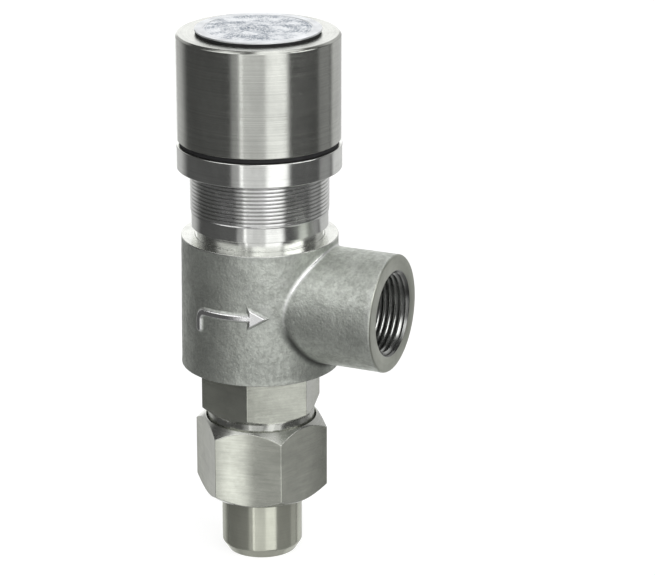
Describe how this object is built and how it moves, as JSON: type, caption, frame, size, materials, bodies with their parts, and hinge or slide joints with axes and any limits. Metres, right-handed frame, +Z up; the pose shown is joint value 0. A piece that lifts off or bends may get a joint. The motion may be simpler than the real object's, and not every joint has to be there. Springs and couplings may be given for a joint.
{
  "type": "pressure relief valve",
  "caption": "Angle-pattern spring relief valve: weld nipple with union nut below, threaded side outlet, threaded sleeve with lock ring and adjusting cap above.",
  "frame": {"origin": "centre of the weld nipple's lower end face, on the valve's axis", "axes": "+Z up along the valve's axis, +X along the outlet, towards its mouth"},
  "size_m": [0.088, 0.064, 0.2128],
  "materials": {
    "cast_steel": "blasted casting, matt",
    "turned_steel": "turned, satin bright",
    "hexagon_steel": "milled flats, satin",
    "plate_metal": "etched plate, satin",
    "black_rubber": "matt",
    "white_seal": "smooth seal plastic",
    "spring_steel": "drawn wire",
    "bronze": "turned bronze"
  },
  "bodies": {
    "valve": {"valve_body": "cast_steel", "inlet_nozzle": "hexagon_steel", "nozzle_gasket": "white_seal", "guide_gasket": "white_seal", "guide_plate": "turned_steel", "guide_bush": "bronze", "sleeve_gasket": "white_seal", "bonnet_sleeve": "turned_steel", "main_spring": "spring_steel"},
    "disc_and_stem": {"valve_disc": "turned_steel", "disc_seal": "white_seal", "seal_washer": "turned_steel", "seal_screw": "turned_steel", "stem": "turned_steel", "stem_retainer": "spring_steel", "lower_spring_button": "turned_steel"},
    "spring_button": {"upper_spring_button": "turned_steel", "thrust_ball": "spring_steel"},
    "cap": {"adjusting_cap": "turned_steel", "nameplate_pad": "black_rubber", "nameplate": "plate_metal"},
    "ring_seal": {"lock_ring_seal": "black_rubber"},
    "lock_ring": {"lock_ring": "turned_steel"},
    "nipple": {"weld_nipple": "turned_steel", "union_gasket": "white_seal"},
    "union_nut": {"union_nut": "hexagon_steel"}
  },
  "joints": [
    {"name": "disc_lift", "type": "slide", "parent": "valve", "child": "disc_and_stem", "axis": [0, 0, 1], "range_m": [0, 0.0025], "stiffness_N_per_m": 17500, "springref_m": -0.016, "deforming": ["main_spring"]},
    {"name": "spring_button_travel", "type": "slide", "parent": "valve", "child": "spring_button", "axis": [0, 0, 1], "range_m": [0, 0.006], "deforming": ["main_spring"]},
    {"name": "cap_turn", "type": "hinge", "parent": "spring_button", "child": "cap", "pos_m": [0, 0, 0.2], "axis": [0, 0, 1], "range_deg": [0, 1440]},
    {"name": "ring_seal_travel", "type": "slide", "parent": "valve", "child": "ring_seal", "axis": [0, 0, 1], "range_m": [-0.0165, 0]},
    {"name": "lock_ring_turn", "type": "hinge", "parent": "ring_seal", "child": "lock_ring", "pos_m": [0, 0, 0.1634], "axis": [0, 0, 1], "range_deg": [-3960, 0]},
    {"name": "nipple_travel", "type": "slide", "parent": "valve", "child": "nipple", "axis": [0, 0, 1], "range_m": [-0.017, 0]},
    {"name": "union_nut_turn", "type": "hinge", "parent": "nipple", "child": "union_nut", "pos_m": [0, 0, 0.041], "axis": [0, 0, 1], "range_deg": [-3060, 0]}
  ],
  "couplings": [
    {"joint": "spring_button_travel", "follows": "cap_turn", "m_per_rad": 0.00023873},
    {"joint": "ring_seal_travel", "follows": "lock_ring_turn", "m_per_rad": 0.00023873},
    {"joint": "nipple_travel", "follows": "union_nut_turn", "m_per_rad": 0.00031831}
  ]
}
